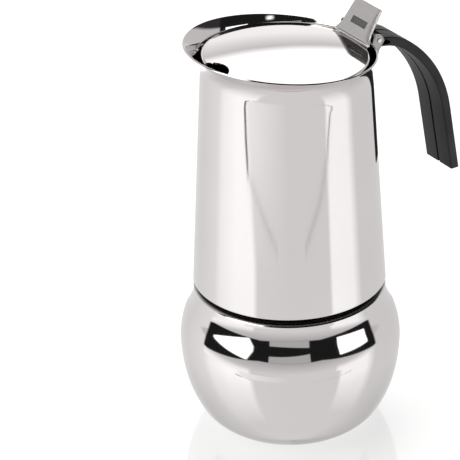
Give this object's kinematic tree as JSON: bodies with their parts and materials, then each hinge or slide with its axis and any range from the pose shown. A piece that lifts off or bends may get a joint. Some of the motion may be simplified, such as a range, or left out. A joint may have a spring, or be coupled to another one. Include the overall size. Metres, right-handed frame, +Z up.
{
  "type": "stovetop moka pot",
  "caption": "Round-bellied stainless stovetop coffee maker with a tapered jug, slanted hinged lid with thumb tab, open black strap handle and a safety valve.",
  "frame": {"origin": "centre of the flat base, on the table", "axes": "+Z up along the axis of boiler and jug, +X towards the handle, pouring lip at -X, safety valve at +Y"},
  "size_m": [0.16, 0.1288, 0.2225],
  "materials": {
    "polished_steel": "mirror-polished stainless steel",
    "satin_steel": "fine satin stainless steel",
    "plain_steel": "bright pressed stainless steel",
    "brass": "turned brass",
    "fibre_seal": "red fibre washer",
    "silicone": "translucent white silicone",
    "black_handle": "matt black heat-proof moulding, lightly grained"
  },
  "bodies": {
    "boiler": {"boiler": "polished_steel", "base_disc": "satin_steel", "valve_boss": "plain_steel", "valve_washer": "fibre_seal", "valve_body": "brass", "valve_cap": "brass", "valve_spring": "plain_steel"},
    "relief_plunger": {"valve_plunger": "brass"},
    "funnel": {"funnel_basket": "plain_steel", "funnel_stem": "plain_steel", "funnel_sieve": "plain_steel"},
    "seal_set": {"gasket": "silicone", "filter_plate": "plain_steel"},
    "jug": {"jug": "polished_steel", "jug_collar": "plain_steel", "jug_floor": "plain_steel", "column": "plain_steel", "column_cap": "plain_steel", "hinge_bracket": "satin_steel", "handle": "black_handle", "handle_screw": "plain_steel", "hinge_pin": "plain_steel"},
    "lid": {"lid": "polished_steel", "lid_lever": "satin_steel"}
  },
  "joints": [
    {"name": "funnel_lift", "type": "slide", "parent": "boiler", "child": "funnel", "axis": [0, 0, 1], "range_m": [0, 0.085]},
    {"name": "seal_lift", "type": "slide", "parent": "funnel", "child": "seal_set", "axis": [0, 0, 1], "range_m": [0, 0.003]},
    {"name": "jug_turn", "type": "hinge", "parent": "seal_set", "child": "jug", "pos_m": [0, 0, 0.09], "axis": [0, 0, 1], "range_deg": [0, 540]},
    {"name": "lid_hinge", "type": "hinge", "parent": "jug", "child": "lid", "pos_m": [0.0482, 0, 0.207], "axis": [0, 1, 0], "range_deg": [0, 82]},
    {"name": "relief_valve", "type": "slide", "parent": "boiler", "child": "relief_plunger", "axis": [0, 1, 0], "range_m": [0, 0.002], "stiffness_N_per_m": 1200, "springref_m": -0.003, "deforming": ["valve_spring"]}
  ],
  "couplings": [
    {"joint": "seal_lift", "follows": "jug_turn", "m_per_rad": 0.00031815}
  ]
}
